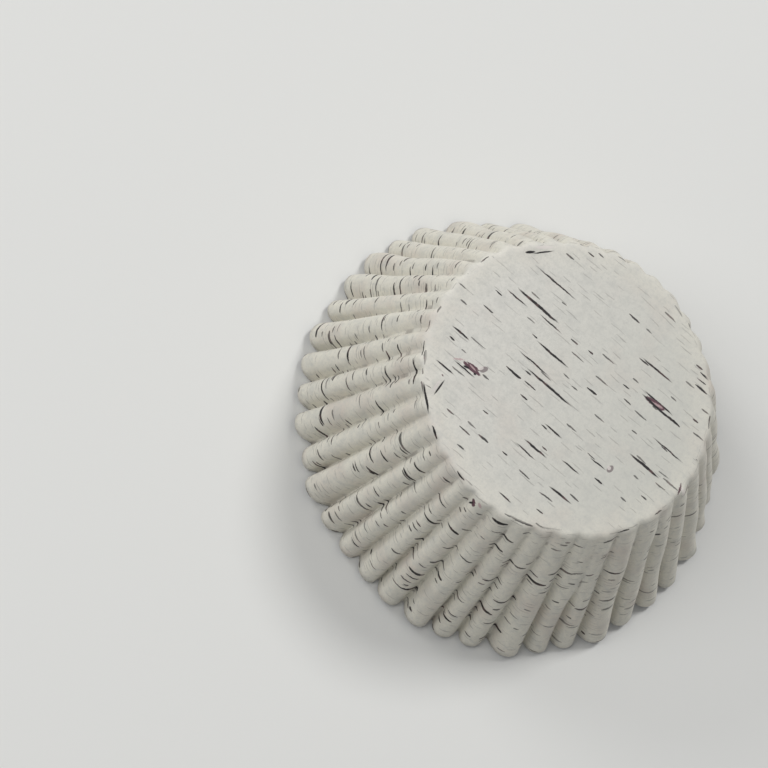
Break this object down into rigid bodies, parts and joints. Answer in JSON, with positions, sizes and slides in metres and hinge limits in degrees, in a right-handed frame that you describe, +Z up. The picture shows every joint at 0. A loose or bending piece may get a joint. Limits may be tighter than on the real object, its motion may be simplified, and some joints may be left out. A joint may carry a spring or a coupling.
{
  "type": "cupcake liner",
  "caption": "Pleated foil-lined paper cupcake liner, a round flat base and a flared fluted wall, standing mouth down on its rim.",
  "frame": {"origin": "middle of the circle the rim stands on, on the ground plane", "axes": "+Z up along the liner's axis, from the mouth towards the outside of the base"},
  "size_m": [0.0781, 0.0782, 0.0307],
  "materials": {
    "paper": "matt printed paper outside, silver foil inside"
  },
  "bodies": {
    "root": {"liner": "paper"}
  },
  "joints": []
}
